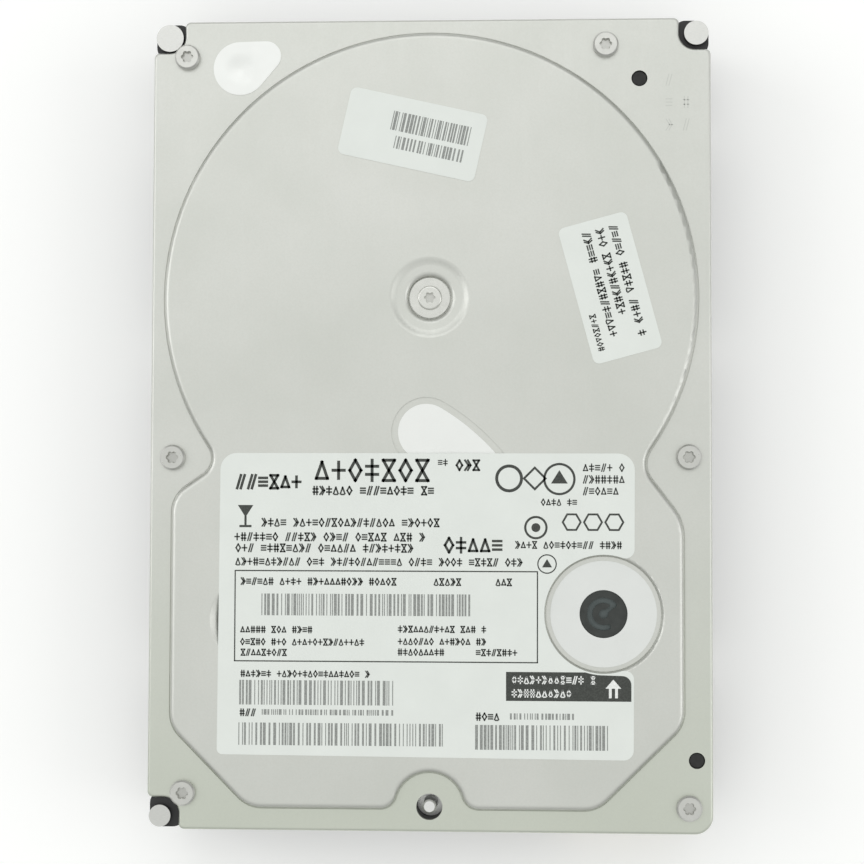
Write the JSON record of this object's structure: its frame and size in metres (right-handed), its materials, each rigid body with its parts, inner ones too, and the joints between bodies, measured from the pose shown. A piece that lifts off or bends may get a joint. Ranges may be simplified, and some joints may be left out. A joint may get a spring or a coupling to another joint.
{
  "type": "hard disk drive",
  "caption": "Hard disk drive with a stamped metal cover over a cast base, stacked discs, a swinging head stack, a circuit board underneath and data and power sockets at one end.",
  "frame": {"origin": "centre of the underside of the drive", "axes": "+X to the right and +Y away from the connectors when looking down on the cover, +Z out of the cover"},
  "size_m": [0.1016, 0.147, 0.0261],
  "materials": {
    "cover_steel": "satin stamped and plated steel sheet",
    "casting": "black coated aluminium casting, fine texture",
    "screw_steel": "bright nickel plate",
    "machined_aluminium": "machined",
    "disc_mirror": "polished",
    "foil": "white metallised foil",
    "label_paper": "satin label film",
    "black_rubber": "moulded rubber",
    "black_plastic": "moulded plastic",
    "white_plastic": "moulded plastic",
    "board_green": "circuit board with solder mask",
    "insulator_film": "black foam",
    "chip_epoxy": "moulded epoxy",
    "ceramic_parts": "fired ceramic",
    "gold_contact": "gold plate",
    "copper_wire": "enamelled copper",
    "magnet_nickel": "nickel plated magnet",
    "yoke_steel": "plated steel",
    "flex_film": "polyimide film",
    "filter_cloth": "non-woven filter cloth"
  },
  "bodies": {
    "base": {"base_casting": "casting", "top_cover": "cover_steel", "cover_gasket": "black_rubber", "cover_screws": "screw_steel", "spindle_screw": "screw_steel", "hole_plugs": "black_rubber", "locating_pin": "machined_aluminium", "foil_seals": "foil", "breather_disc": "label_paper", "breather_diffuser": "black_plastic", "main_label": "label_paper", "barcode_label": "label_paper", "part_label": "label_paper", "motor_flange": "machined_aluminium", "spindle_shaft": "yoke_steel", "stator_core": "yoke_steel", "stator_windings": "copper_wire", "lower_yoke": "yoke_steel", "upper_yoke": "yoke_steel", "voice_coil_magnets": "magnet_nickel", "yoke_standoffs": "yoke_steel", "pivot_shaft": "yoke_steel", "load_ramp": "white_plastic", "crash_stops": "black_rubber", "recirculation_filter": "filter_cloth", "absorbent_packet": "filter_cloth", "head_connector": "black_plastic", "flex_cable": "flex_film", "flex_bracket": "machined_aluminium", "circuit_board": "board_green", "board_insulator": "insulator_film", "controller_chip": "chip_epoxy", "memory_chip": "chip_epoxy", "motor_driver_chip": "chip_epoxy", "board_passives": "ceramic_parts", "board_screws": "screw_steel", "sata_connector": "black_plastic", "sata_contacts": "gold_contact", "power_connector": "white_plastic", "power_pins": "gold_contact", "jumper_block": "black_plastic", "jumper_pins": "gold_contact"},
    "disc_pack": {"spindle_hub": "machined_aluminium", "rotor_magnet": "magnet_nickel", "platter_1": "disc_mirror", "platter_2": "disc_mirror", "platter_3": "disc_mirror", "platter_4": "disc_mirror", "platter_5": "disc_mirror", "disc_spacers": "machined_aluminium", "disc_clamp": "machined_aluminium", "clamp_screws": "screw_steel"},
    "head_stack": {"head_carriage": "machined_aluminium", "pivot_bearing": "yoke_steel", "voice_coil": "copper_wire", "coil_frame": "black_plastic", "suspensions": "yoke_steel", "sliders": "chip_epoxy", "preamp_chip": "chip_epoxy"},
    "latch": {"latch_lever": "black_plastic"}
  },
  "joints": [
    {"name": "spindle", "type": "hinge", "parent": "base", "child": "disc_pack", "pos_m": [0, 0.0225, 0.015], "axis": [0, 0, 1], "continuous": true},
    {"name": "head_swing", "type": "hinge", "parent": "base", "child": "head_stack", "pos_m": [-0.019, -0.033, 0.015], "axis": [0, 0, 1], "range_deg": [0, 34], "deforming": ["flex_cable"]},
    {"name": "latch_swing", "type": "hinge", "parent": "base", "child": "latch", "pos_m": [-0.0391, -0.0553, 0.015], "axis": [0, 0, 1], "range_deg": [0, 10]}
  ]
}
